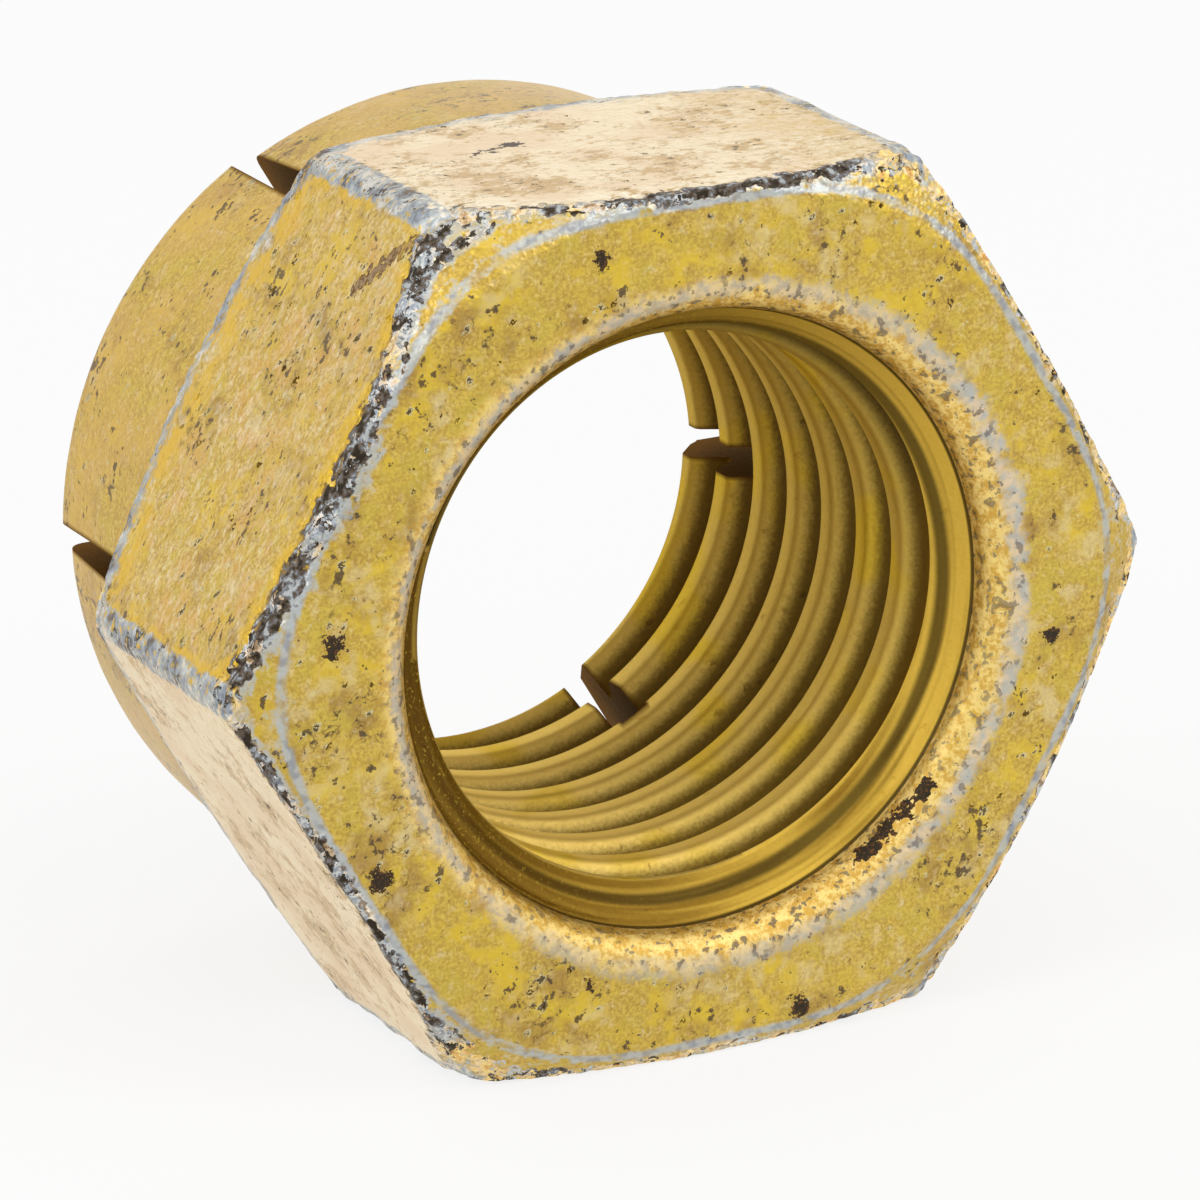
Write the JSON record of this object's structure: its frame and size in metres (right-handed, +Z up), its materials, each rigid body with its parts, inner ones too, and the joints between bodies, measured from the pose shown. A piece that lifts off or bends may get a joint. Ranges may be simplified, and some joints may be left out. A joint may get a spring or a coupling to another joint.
{
  "type": "lock nut",
  "caption": "All-metal hexagon lock nut with a slotted round crown, whose every second beam is pressed in to grip the bolt's thread.",
  "frame": {"origin": "centre of the bearing face, on the thread's axis", "axes": "-Y out of the bearing face, which is the way the bolt leaves; +Y towards the crown; +Z up, with the nut lying on one of its flats"},
  "size_m": [0.0182, 0.0107, 0.0158],
  "materials": {
    "plated_steel": "satin yellow chromate over zinc, worn on the edges"
  },
  "bodies": {
    "root": {"lock_nut": "plated_steel"}
  },
  "joints": []
}
